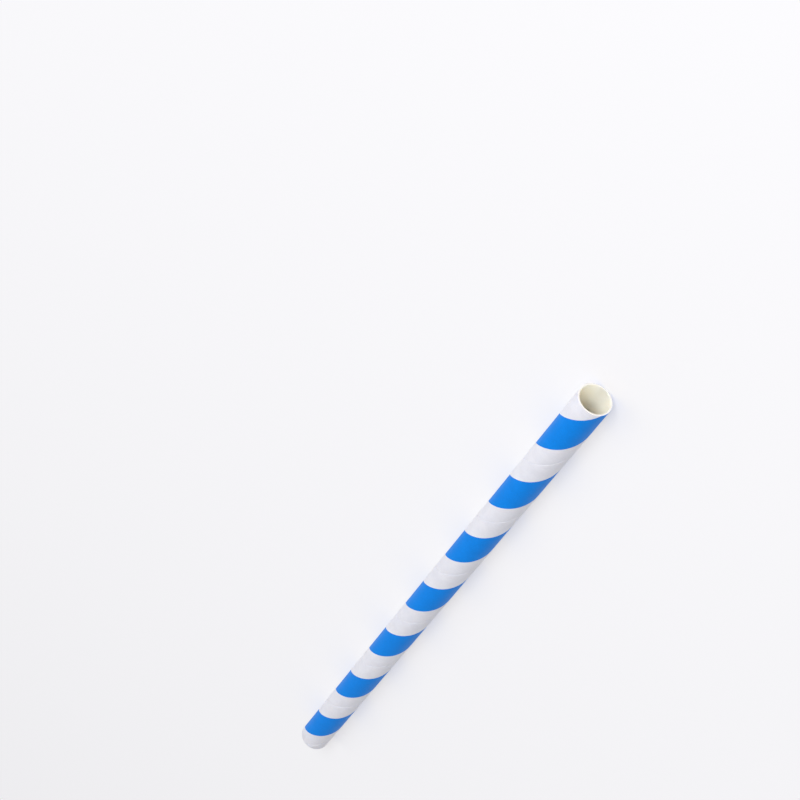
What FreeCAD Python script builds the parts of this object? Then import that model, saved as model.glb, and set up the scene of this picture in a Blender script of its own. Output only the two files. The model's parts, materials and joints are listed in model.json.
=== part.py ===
import FreeCAD, Part
import math
import os

# Paper drinking straw, in millimetres.
# Strips of paper are wound round a mandrel, glued, and cut square to length, so the straw is
# one stiff tube. It lies on its side: its axis runs along X, its lowest line is at Z = 0 and
# the origin is below the middle of its length. The drinking end is at +X.

# Overall size.
straw_length = 197.0
outer_diameter = 8.0

# Paper: one thin printed ply outside, thicker core plies inside.
print_ply = 0.08
core_ply = 0.16
core_plies = 2

# Winding: a right-handed helix, which one turn of the strip moves this far along the axis.
winding_pitch = 28.6
# The two edges of the printed strip meet in a butt seam, with a narrow gap between them.
seam_gap = 0.15

# Print: a coloured band down the middle of the strip, as a share of the strip's width.
band_share = 0.465
# Plain paper between the drinking end and the band, along the straw's marked line.
band_offset = 3.7
# How far the straw has rolled round its axis, in degrees, from having that line on top.
rest_roll = 6.5

# The wall is as thick as its plies together.
wall = print_ply + core_plies * core_ply
outer_radius = outer_diameter / 2
inner_radius = outer_radius - wall

# The angle that the seam makes with a circle round the straw, and the strip's own width.
winding_angle = math.atan2(winding_pitch, math.pi * outer_diameter)
strip_width = winding_pitch * math.cos(winding_angle)

# What the helix runs past each end of the straw, so that the ends are cut through square.
overrun = outer_diameter / 2


def straw_body():
    """The plain tube. It stands on its foot here, with its marked line at +X."""
    outside = Part.makeCylinder(outer_radius, straw_length)
    bore = Part.makeCylinder(inner_radius, straw_length)
    return outside.cut(bore)


def wind(one_turn, below_mouth):
    """Copies of one turn, end on end, that cross the marked line this far below the mouth."""
    crossing = straw_length - below_mouth
    turns_below = math.ceil((crossing + overrun) / winding_pitch)
    start = crossing - turns_below * winding_pitch
    turns = math.ceil((straw_length + overrun - start) / winding_pitch)
    copies = []
    for turn in range(turns):
        copy = one_turn.copy()
        copy.translate(FreeCAD.Vector(0, 0, start + turn * winding_pitch))
        copies.append(copy)
    return copies


def seam_turn(path):
    """One turn of the seam's gap, as deep as the printed ply, with room above the paper."""
    half_gap = seam_gap / math.cos(winding_angle) / 2
    bottom = outer_radius - print_ply
    top = outer_radius + print_ply
    corners = [
        FreeCAD.Vector(bottom, 0, -half_gap),
        FreeCAD.Vector(top, 0, -half_gap),
        FreeCAD.Vector(top, 0, half_gap),
        FreeCAD.Vector(bottom, 0, half_gap),
    ]
    section = Part.makePolygon(corners + corners[:1])
    return Part.Wire([path]).makePipeShell([section], True, True)


band_width = band_share * winding_pitch
plain_width = winding_pitch - band_width
# The seam lies in the middle of the plain paper that separates two turns of the band.
seam_offset = band_offset + band_width + plain_width / 2

helix_turn = Part.makeHelix(winding_pitch, winding_pitch, outer_radius).Edges[0]
straw = straw_body().cut(wind(seam_turn(helix_turn), seam_offset))

# Lay the straw down: its length goes to X and its marked line to the top, then it rolls.
straw.rotate(FreeCAD.Vector(0, 0, 0), FreeCAD.Vector(1, 0, 1), 180)
straw.rotate(FreeCAD.Vector(0, 0, 0), FreeCAD.Vector(1, 0, 0), rest_roll)
straw.translate(FreeCAD.Vector(-straw_length / 2, 0, outer_radius))

os.makedirs("parts", exist_ok=True)
straw.exportStep("parts/straw_tube.step")

print("wall", round(wall, 3), "strip width", round(strip_width, 2))
print("faces", len(straw.Faces), "valid", straw.isValid(), "volume", round(straw.Volume, 2))
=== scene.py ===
import json
import math

import bpy
from mathutils import Matrix, Vector


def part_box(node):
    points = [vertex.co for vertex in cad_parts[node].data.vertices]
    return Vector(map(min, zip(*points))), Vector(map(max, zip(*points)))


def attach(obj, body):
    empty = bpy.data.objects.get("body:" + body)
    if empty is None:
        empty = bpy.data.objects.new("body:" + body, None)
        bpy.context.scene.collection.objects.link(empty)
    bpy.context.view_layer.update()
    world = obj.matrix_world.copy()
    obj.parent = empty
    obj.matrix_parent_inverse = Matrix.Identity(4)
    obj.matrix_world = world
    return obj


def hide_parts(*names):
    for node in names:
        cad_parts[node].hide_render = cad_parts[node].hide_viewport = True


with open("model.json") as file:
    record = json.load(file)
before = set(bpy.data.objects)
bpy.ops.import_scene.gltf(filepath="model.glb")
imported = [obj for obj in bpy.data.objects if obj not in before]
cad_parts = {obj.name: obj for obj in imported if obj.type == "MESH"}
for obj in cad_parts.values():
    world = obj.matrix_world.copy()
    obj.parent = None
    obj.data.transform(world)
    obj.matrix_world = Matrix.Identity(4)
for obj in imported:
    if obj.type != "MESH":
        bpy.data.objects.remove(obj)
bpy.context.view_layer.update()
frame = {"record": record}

# The wound straw: strips of paper glued in a spiral, a thin printed and coated one outside and
# thicker uncoated ones inside, cut square at both ends. The printed strip's two edges meet in an
# open butt seam that winds round in the plain paper between two turns of the blue band.
MM = 0.001
mounts = {mount["name"]: mount for mount in frame["record"]["mounts"]}
low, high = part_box("straw_tube")
length = high.x - low.x
axis_height = mounts["bore"]["pos_m"][2]
outer_radius = mounts["outer_wall"]["dims"]["r_mm"] * MM
bore_radius = mounts["bore"]["dims"]["r_mm"] * MM

# The printed strip, as in the solid: its pitch, its thickness, the gap between its edges and the
# band's share of it. Places down from the mouth are measured along the straw's marked line, which
# lies this far round from the top as the straw rests.
winding_pitch = 28.6 * MM
print_ply = 0.08 * MM
seam_gap = 0.15 * MM
band_share = 0.465
band_offset = 3.7 * MM
marked_line = math.radians(6.5)

band_width = band_share * winding_pitch
plain_width = winding_pitch - band_width
# The band is printed a little off the middle between two seams, towards the foot.
print_shift = 0.5 * MM
band_start = plain_width / 2 - print_shift
band_end = band_start + band_width
winding_angle = math.atan2(winding_pitch, math.tau * outer_radius)
strip_width = winding_pitch * math.cos(winding_angle)
mouth_x = length / 2
# Where the middle of the seam crosses the marked line, and the top of the straw as it lies.
seam_offset = band_offset + band_width + plain_width / 2
seam_x = mouth_x - seam_offset - winding_pitch * marked_line / math.tau

# How finely the straw is wound, and how close two points count as one.
steps_per_turn = 96
merge_distance = 0.0001 * MM
# The cut edges of the printed strip are this round, and lie pressed down a little.
edge_round = 0.03 * MM
pressed_width = 1.3 * MM
pressed_depth = 0.012 * MM
# The seam of the ply below shows as a faint dent, this far along from the printed ply's seam.
dent_x = 0.36 * winding_pitch
dent_width = 1.1 * MM
dent_depth = 0.008 * MM
# The innermost ply's own butt seam, in the bore.
bore_seam_x = 0.70 * winding_pitch
bore_seam_gap = 0.16 * MM
bore_seam_depth = 0.05 * MM
# How far the cut rims are rounded over, and how far the core plies lie back there from the printed
# one, because the blade presses them in.
rim_round = 0.03 * MM
core_back = 0.03 * MM

half_gap = seam_gap / math.cos(winding_angle) / 2
bore_half_gap = bore_seam_gap / math.cos(winding_angle) / 2


def dip(distance, width, depth):
    """How far the paper is pressed in at this distance from the middle of a crease."""
    if abs(distance) >= width:
        return 0.0
    return depth * (1 + math.cos(math.pi * distance / width)) / 2


def edge_drop(distance, half_width, depth):
    """How far a butt seam's surface lies in, by the distance from its middle: its floor, its wall
    and the rounded edge of the strip."""
    if distance <= half_width:
        return depth
    if distance >= half_width + edge_round:
        return 0.0
    left = half_width + edge_round - distance
    return edge_round - math.sqrt(edge_round * edge_round - left * left)


def printed_radius(x):
    """The radius of the printed strip, x from the middle of its seam along the axis."""
    from_seam = min(x, winding_pitch - x)
    seam = edge_drop(from_seam, half_gap, print_ply)
    if from_seam > half_gap:
        seam += dip(from_seam - half_gap, pressed_width, pressed_depth)
    return outer_radius - seam - dip(x - dent_x, dent_width, dent_depth)


def bore_wall_radius(x):
    """The radius of the innermost ply in the bore, for the same x."""
    return bore_radius + edge_drop(abs(x - bore_seam_x), bore_half_gap, bore_seam_depth)


def spread(first, last, count):
    """Evenly spaced places from first to last, both ends in."""
    return [first + (last - first) * index / (count - 1) for index in range(count)]


# Where the paper needs points across one pitch. Both walls have the same ones, so that the rims
# between them close with even faces.
wall_step = 0.002 * MM
seam_side = [half_gap, half_gap + wall_step, half_gap + edge_round / 3, half_gap + edge_round]
seam_side += spread(half_gap + edge_round, half_gap + pressed_width, 6)[1:]
bore_side = [bore_half_gap, bore_half_gap + wall_step, bore_half_gap + edge_round]
places = [0.0, winding_pitch, band_start, band_end, bore_seam_x]
places += seam_side + [winding_pitch - x for x in seam_side]
places += [bore_seam_x - x for x in bore_side] + [bore_seam_x + x for x in bore_side]
places += spread(dent_x - dent_width, dent_x + dent_width, 7)
# Two more break up the longest stretches between these.
places += [winding_pitch * 0.58, winding_pitch * 0.85]
places.sort()

# The helix starts below the foot and ends beyond the mouth, so that both ends are cut through.
turns_below = math.ceil((seam_x + mouth_x) / winding_pitch) + 1
start_x = seam_x - turns_below * winding_pitch
turns = math.ceil((mouth_x - start_x) / winding_pitch) + 1


def select_open_edges():
    """Selects the mesh's open edges, and nothing else, in edit mode."""
    bpy.ops.mesh.select_non_manifold(
        extend=False, use_wire=False, use_multi_face=False, use_verts=False,
    )


def wind(name, wall_radius, end_x, inward):
    """One wall of the straw, wound as a right-handed helix along X, cut square at both ends and
    turned over there towards the middle of the wall."""
    bpy.ops.object.select_all(action="DESELECT")
    bpy.ops.mesh.primitive_plane_add(size=MM, location=(0, 0, 0))
    piece = bpy.context.object
    piece.name = name
    piece.data.name = name
    bpy.ops.object.mode_set(mode="EDIT")
    bpy.ops.mesh.select_all(action="SELECT")
    bpy.ops.mesh.merge(type="CENTER")
    bpy.ops.transform.translate(value=(start_x, 0, wall_radius(0.0)))
    for here, there in zip(places, places[1:]):
        step = (there - here, 0, wall_radius(there) - wall_radius(here))
        bpy.ops.mesh.extrude_region_move(TRANSFORM_OT_translate={"value": step})
    bpy.ops.object.mode_set(mode="OBJECT")
    winding = piece.modifiers.new("winding", "SCREW")
    winding.axis = "X"
    winding.angle = math.tau
    winding.screw_offset = winding_pitch
    winding.iterations = turns
    winding.steps = steps_per_turn
    winding.render_steps = steps_per_turn
    bpy.ops.object.modifier_apply(modifier=winding.name)
    bpy.ops.object.mode_set(mode="EDIT")
    bpy.ops.mesh.select_all(action="SELECT")
    bpy.ops.mesh.remove_doubles(threshold=merge_distance)
    cut_x = end_x - rim_round
    for side in (1, -1):
        bpy.ops.mesh.select_all(action="SELECT")
        bpy.ops.mesh.bisect(
            plane_co=(side * cut_x, 0, 0), plane_no=(side, 0, 0), clear_outer=True,
            threshold=merge_distance,
        )
    bpy.ops.mesh.select_all(action="DESELECT")
    select_open_edges()
    x_now, drawn_in = cut_x, 0.0
    for degrees in (30, 60, 90):
        x_next = cut_x + rim_round * math.sin(math.radians(degrees))
        drawn_next = rim_round * (1 - math.cos(math.radians(degrees)))
        radius_now = wall_radius(band_end) + inward * drawn_in
        scale = (radius_now + inward * (drawn_next - drawn_in)) / radius_now
        bpy.ops.mesh.extrude_region_move()
        bpy.ops.transform.resize(value=(x_next / x_now, scale, scale), center_override=(0, 0, 0))
        x_now, drawn_in = x_next, drawn_next
    bpy.ops.object.mode_set(mode="OBJECT")
    return piece


outside = wind("straw", printed_radius, mouth_x, -1)
inside = wind("bore", bore_wall_radius, mouth_x - core_back, 1)

# The two walls become one tube: joined, with a rim bridged across the paper at each end.
bpy.ops.object.select_all(action="DESELECT")
inside.select_set(True)
outside.select_set(True)
bpy.context.view_layer.objects.active = outside
bpy.ops.object.join()
straw = bpy.context.object
for side in (1, -1):
    bpy.ops.object.mode_set(mode="EDIT")
    bpy.ops.mesh.select_mode(type="EDGE")
    bpy.ops.mesh.select_all(action="DESELECT")
    select_open_edges()
    bpy.ops.object.mode_set(mode="OBJECT")
    for edge in straw.data.edges:
        if edge.select and straw.data.vertices[edge.vertices[0]].co.x * side < 0:
            edge.select = False
    bpy.ops.object.mode_set(mode="EDIT")
    bpy.ops.mesh.bridge_edge_loops()
    bpy.ops.object.mode_set(mode="OBJECT")
bpy.ops.object.mode_set(mode="EDIT")
bpy.ops.mesh.select_all(action="SELECT")
bpy.ops.mesh.normals_make_consistent(inside=False)
bpy.ops.object.mode_set(mode="OBJECT")

# Each face is given its material, and its place on the unrolled strip as a UV map in metres: u
# runs along the strip and v across it, from the seam at 0 to the next seam at its full width.
strip_map = straw.data.uv_layers.new(name="strip")
along, across = math.cos(winding_angle), math.sin(winding_angle)
WHITE, BLUE, CORE, EDGE = range(4)
# A seam's floor still belongs to its wall, so each wall reaches a little deeper than its seam.
past_floor = 1.1
rim_limit = outer_radius - print_ply * past_floor
bore_limit = bore_radius + bore_seam_depth * past_floor
for polygon in straw.data.polygons:
    centre = polygon.center
    radius = math.hypot(centre.y, centre.z)
    angle = math.atan2(-centre.y, centre.z)
    place = (centre.x - seam_x) * along - outer_radius * angle * across
    turn = math.floor(place / strip_width)
    from_seam = (place / strip_width - turn) * winding_pitch
    for loop_index in polygon.loop_indices:
        corner = straw.data.vertices[straw.data.loops[loop_index].vertex_index].co
        corner_angle = math.atan2(-corner.y, corner.z)
        corner_angle += math.tau * round((angle - corner_angle) / math.tau)
        unrolled = outer_radius * (corner_angle + math.tau * turn)
        shift = corner.x - seam_x
        strip_map.data[loop_index].uv = (
            unrolled * along + shift * across,
            shift * along - unrolled * across,
        )
    if radius < bore_limit:
        polygon.material_index = CORE
    elif radius < rim_limit:
        polygon.material_index = EDGE
    elif band_start < from_seam < band_end:
        polygon.material_index = BLUE
    else:
        polygon.material_index = WHITE

bpy.ops.object.select_all(action="DESELECT")
straw.select_set(True)
bpy.context.view_layer.objects.active = straw
bpy.ops.transform.translate(value=(0, 0, axis_height))
bpy.ops.object.transform_apply(location=True, rotation=True, scale=True)
sharp_from = math.radians(40)
bpy.ops.object.shade_smooth_by_angle(angle=sharp_from)


def to_linear(hex_colour):
    """An sRGB hex colour as linear RGBA."""
    channels = [int(hex_colour[place:place + 2], 16) / 255 for place in (1, 3, 5)]
    return [c / 12.92 if c <= 0.04045 else ((c + 0.055) / 1.055) ** 2.4 for c in channels] + [1.0]


def new_material(name):
    """A material with an empty node tree but for its output."""
    material = bpy.data.materials.new(name)
    material.use_nodes = True
    material.node_tree.nodes.clear()
    return material


def add_node(material, kind, settings=None, links=None):
    """Adds a node, with its settings and socket values, and links its inputs."""
    node = material.node_tree.nodes.new(kind)
    for name, value in (settings or {}).items():
        if isinstance(name, str) and hasattr(node, name):
            setattr(node, name, value)
        else:
            node.inputs[name].default_value = value
    for name, source in (links or {}).items():
        material.node_tree.links.new(source, node.inputs[name])
    return node


# Paper fibres lie mostly along the strip. Real ones are about 0.03 mm wide, too fine to show, so
# they are drawn this coarse. The formation is the faint cloudiness of paper held to the light.
fibre_length = 2.0 * MM
fibre_spacing = 0.25 * MM
formation_size = 3.0 * MM


def paper(name, light_colour, dark_colour, finish, fibre_height, mottle_size, mottle_share):
    """A paper surface on the strip's own map: clouded, mottled colour and a fine grain of fibres.
    Its finish is its roughness, how much it mirrors, how much light goes on under its surface and
    how far that light reaches."""
    roughness, shine, glow, light_reach = finish
    material = new_material(name)
    strip = add_node(material, "ShaderNodeUVMap", {"uv_map": "strip"})
    fibre_place = add_node(
        material, "ShaderNodeMapping", {"Scale": (1 / fibre_length, 1 / fibre_spacing, 1)},
        {"Vector": strip.outputs["UV"]},
    )
    fibres = add_node(
        material, "ShaderNodeTexNoise", {"Scale": 1.0, "Detail": 3.0},
        {"Vector": fibre_place.outputs[0]},
    )
    clouds = add_node(
        material, "ShaderNodeTexNoise", {"Scale": 1 / formation_size, "Detail": 2.0},
        {"Vector": strip.outputs["UV"]},
    )
    mottle = add_node(
        material, "ShaderNodeTexNoise", {"Scale": 1 / mottle_size, "Detail": 2.0},
        {"Vector": strip.outputs["UV"]},
    )
    shade = add_node(
        material, "ShaderNodeMix", {"data_type": "FLOAT", "Factor": mottle_share},
        {"A": clouds.outputs["Fac"], "B": mottle.outputs["Fac"]},
    )
    # Noise keeps mostly between these two values, and the two colours share that stretch.
    spread_out = add_node(
        material, "ShaderNodeMapRange", {"From Min": 0.35, "From Max": 0.65},
        {"Value": shade.outputs[0]},
    )
    colour = add_node(
        material, "ShaderNodeMix", {"data_type": "RGBA"}, {"Factor": spread_out.outputs[0]},
    )
    colour.inputs[6].default_value = to_linear(dark_colour)
    colour.inputs[7].default_value = to_linear(light_colour)
    grain = add_node(
        material, "ShaderNodeBump", {"Strength": 1.0, "Distance": fibre_height},
        {"Height": fibres.outputs["Fac"]},
    )
    surface = add_node(
        material, "ShaderNodeBsdfPrincipled",
        {
            "Roughness": roughness, "Specular IOR Level": shine,
            "Subsurface Weight": glow, "Subsurface Scale": light_reach,
            "Subsurface Radius": (1.0, 0.9, 0.8),
        },
        {"Base Color": colour.outputs[2], "Normal": grain.outputs["Normal"]},
    )
    add_node(material, "ShaderNodeOutputMaterial", None, {"Surface": surface.outputs[0]})
    return material


# The printed strip is clay-coated and rolled flat: a satin white, cool from its brightener, with
# soft edges to its shadows, because light goes a little way into it.
white_paper = paper(
    "coated_white_paper", "#E7E7EF", "#E0E0E9", finish=(0.5, 0.25, 0.4, 0.4 * MM),
    fibre_height=0.004 * MM, mottle_size=0.6 * MM, mottle_share=0.4,
)
# Food-safe water-based ink, laid on that coating by a rubber plate: a flat, even blue with next to
# no shine and a faint mottle.
blue_ink = paper(
    "blue_flexo_ink_on_coated_paper", "#0085E9", "#007EDF", finish=(0.5, 0.12, 0.0, 0.4 * MM),
    fibre_height=0.004 * MM, mottle_size=0.5 * MM, mottle_share=0.6,
)
# The core plies are plain uncoated paper: matt, warm and a little woolly, and the bore glows with
# the light that comes through its thin wall.
core_paper = paper(
    "uncoated_core_paper", "#FDF5E4", "#FAF0DE", finish=(0.85, 0.2, 1.0, 1.0 * MM),
    fibre_height=0.010 * MM, mottle_size=0.8 * MM, mottle_share=0.5,
)

# At the rims the blade leaves the plies' raw edges: matt and pale, with a darker line of dried glue
# wherever two plies meet.
cut_edge = new_material("cut_edge_of_the_plies")
core_ply = (outer_radius - bore_radius - print_ply) / 2
glue_line = 0.012 * MM
coordinates = add_node(cut_edge, "ShaderNodeTexCoord")
from_axis = add_node(
    cut_edge, "ShaderNodeVectorMath",
    {"operation": "MULTIPLY_ADD", 1: (0, 1, 1), 2: (0, 0, -axis_height)},
    {0: coordinates.outputs["Object"]},
)
radius_here = add_node(
    cut_edge, "ShaderNodeVectorMath", {"operation": "LENGTH"}, {0: from_axis.outputs[0]},
)
first_joint = add_node(
    cut_edge, "ShaderNodeMath", {"operation": "COMPARE", 1: outer_radius - print_ply, 2: glue_line},
    {0: radius_here.outputs["Value"]},
)
second_joint = add_node(
    cut_edge, "ShaderNodeMath",
    {"operation": "COMPARE", 1: outer_radius - print_ply - core_ply, 2: glue_line},
    {0: radius_here.outputs["Value"]},
)
joints = add_node(
    cut_edge, "ShaderNodeMath", {"operation": "MAXIMUM"},
    {0: first_joint.outputs[0], 1: second_joint.outputs[0]},
)
edge_colour = add_node(cut_edge, "ShaderNodeMix", {"data_type": "RGBA"}, {"Factor": joints.outputs[0]})
edge_colour.inputs[6].default_value = to_linear("#E6E3DE")
edge_colour.inputs[7].default_value = to_linear("#D6D1C8")
edge_surface = add_node(
    cut_edge, "ShaderNodeBsdfPrincipled", {"Roughness": 0.9}, {"Base Color": edge_colour.outputs[2]},
)
add_node(cut_edge, "ShaderNodeOutputMaterial", None, {"Surface": edge_surface.outputs[0]})

for material in (white_paper, blue_ink, core_paper, cut_edge):
    straw.data.materials.append(material)

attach(straw, "root")
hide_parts("straw_tube")

# The floor: a plain pale matt board that the straw lies on. Part of what is seen of it is its bare
# colour, whatever the light, and the rest takes the straw's soft shadow.
backdrop_colour = "#F5F4F7"
backdrop_part = 0.62
bpy.ops.mesh.primitive_plane_add(size=4.0, location=(0, 0, 0))
floor = bpy.context.object
floor.name = "floor"
floor_paint = new_material("pale_matt_floor")
floor_surface = add_node(
    floor_paint, "ShaderNodeBsdfPrincipled",
    {"Base Color": to_linear("#F9F9FB"), "Roughness": 0.9, "Specular IOR Level": 0.2},
)
backdrop = add_node(
    floor_paint, "ShaderNodeEmission", {"Color": to_linear(backdrop_colour), "Strength": 1.0},
)
light_path = add_node(floor_paint, "ShaderNodeLightPath")
seen_or_mirrored = add_node(
    floor_paint, "ShaderNodeMath", {"operation": "MAXIMUM"},
    {0: light_path.outputs["Is Camera Ray"], 1: light_path.outputs["Is Glossy Ray"]},
)
seen_at_all = add_node(
    floor_paint, "ShaderNodeMath", {"operation": "MAXIMUM"},
    {0: seen_or_mirrored.outputs[0], 1: light_path.outputs["Is Transmission Ray"]},
)
backdrop_share = add_node(
    floor_paint, "ShaderNodeMath", {"operation": "MULTIPLY", 1: backdrop_part},
    {0: seen_at_all.outputs[0]},
)
floor_look = add_node(
    floor_paint, "ShaderNodeMixShader", None,
    {0: backdrop_share.outputs[0], 1: floor_surface.outputs[0], 2: backdrop.outputs[0]},
)
add_node(floor_paint, "ShaderNodeOutputMaterial", None, {"Surface": floor_look.outputs[0]})
floor.data.materials.append(floor_paint)

# Soft studio light: an even surround, a large soft box beyond the mouth, which lights the rim and
# some way into the bore, and a weaker one to the left.
surround_strength = 0.44
world = bpy.data.worlds.new("studio")
world.use_nodes = True
surround = world.node_tree.nodes["Background"]
surround.inputs["Color"].default_value = (1.0, 1.0, 1.0, 1.0)
surround.inputs["Strength"].default_value = surround_strength
bpy.context.scene.world = world


def soft_box(name, place, size, power):
    """A square soft box at this place, aimed at the middle of the straw."""
    bpy.ops.object.light_add(type="AREA", location=place)
    lamp = bpy.context.object
    lamp.name = name
    lamp.data.shape = "SQUARE"
    lamp.data.size = size
    lamp.data.energy = power
    lamp.rotation_euler = (-Vector(place)).to_track_quat("-Z", "Y").to_euler()


soft_box("main_soft_box", (0.90, 0.18, 0.74), 0.5, 9.5)
soft_box("left_soft_box", (-0.10, 0.60, 0.65), 0.5, 1.4)

# The camera: where the photograph's camera stood to the straw, worked out from the pixels of the
# middle of its mouth and of its foot, and the mouth's distance. Its picture is 800 pixels square.
picture_size = 800
picture_middle = 399.5
focal_pixels = 2165.0
mouth_pixel = (594.9, 398.9)
foot_pixel = (314.9, 735.3)
mouth_distance = 0.4546


def ray(pixel):
    """The direction of a pixel from the camera, at unit depth."""
    across_view = (pixel[0] - picture_middle) / focal_pixels
    up_view = -(pixel[1] - picture_middle) / focal_pixels
    return Vector((across_view, up_view, -1.0))


mouth_seen = ray(mouth_pixel) * mouth_distance
foot_ray = ray(foot_pixel)
# The foot lies on its ray, the straw's length from the mouth, on the far side.
along_ray = foot_ray.dot(mouth_seen)
past_nearest = math.sqrt(
    along_ray * along_ray
    - foot_ray.length_squared * (mouth_seen.length_squared - length * length)
)
foot_seen = foot_ray * (along_ray + past_nearest) / foot_ray.length_squared
axis_seen = (foot_seen - mouth_seen).normalized()
facing_seen = (-mouth_seen - axis_seen * axis_seen.dot(-mouth_seen)).normalized()
side_seen = axis_seen.cross(facing_seen)
# In the frame the axis runs to -X and the marked line faces the camera.
axis_here = Vector((-1, 0, 0))
facing_here = Vector((0, -math.sin(marked_line), math.cos(marked_line)))
side_here = axis_here.cross(facing_here)
seen = Matrix((axis_seen, facing_seen, side_seen))
here = Matrix((axis_here, facing_here, side_here))
turn_to_frame = here.transposed() @ seen
camera_place = Vector((mouth_x, 0, axis_height)) - turn_to_frame @ mouth_seen

bpy.ops.object.camera_add(location=camera_place)
camera = bpy.context.object
camera.rotation_euler = turn_to_frame.to_euler()
camera.data.sensor_width = 36.0
camera.data.lens = focal_pixels / picture_size * camera.data.sensor_width
camera.data.clip_start = 0.01
bpy.context.scene.camera = camera

bpy.context.scene.view_settings.view_transform = "Standard"
